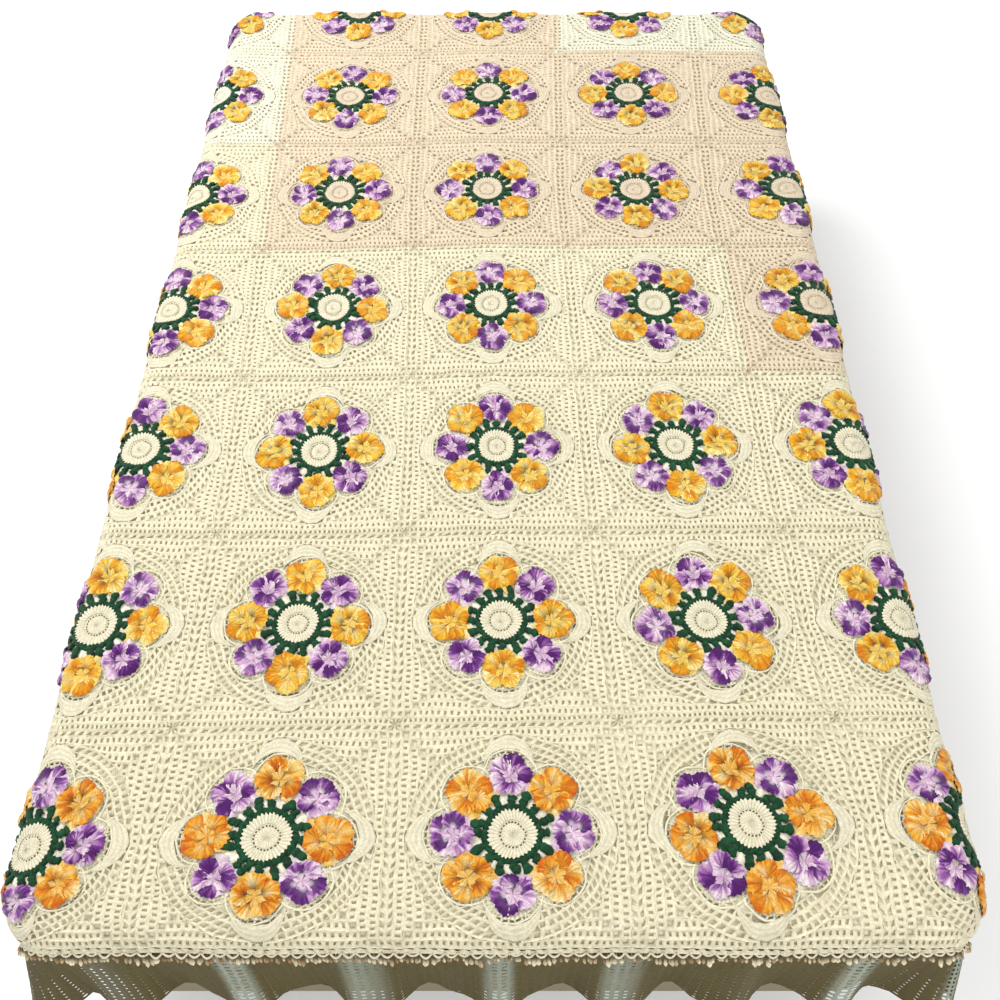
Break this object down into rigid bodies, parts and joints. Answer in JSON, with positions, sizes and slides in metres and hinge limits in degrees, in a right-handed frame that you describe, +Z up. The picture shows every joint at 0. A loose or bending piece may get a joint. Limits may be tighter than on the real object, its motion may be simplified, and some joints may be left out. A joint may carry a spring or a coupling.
{
  "type": "crochet bedspread on a bed",
  "caption": "Cream openwork crochet bedspread of pansy-wheel squares with a picot frill and a net flounce, draped over a plain mattress and base.",
  "frame": {"origin": "centre of the footprint on the floor", "axes": "+Z up, +Y from the foot of the bed towards its head, +X to the right seen from the foot"},
  "size_m": [1.3078, 2.1002, 0.5366],
  "materials": {
    "cream_cotton": "matte",
    "green_cotton": "matte",
    "violet_cotton": "matte",
    "gold_cotton": "matte",
    "net_cotton": "matte",
    "mattress_ticking": "matte",
    "base_fabric": "matte",
    "foot_wood": "satin"
  },
  "bodies": {
    "root": {"bedspread_top": "cream_cotton", "picot_frill": "cream_cotton", "net_flounce": "net_cotton", "mattress": "mattress_ticking", "bed_base": "base_fabric", "bed_foot_foot_end_left": "foot_wood", "bed_foot_foot_end_right": "foot_wood", "bed_foot_head_end_left": "foot_wood", "bed_foot_head_end_right": "foot_wood"}
  },
  "joints": []
}
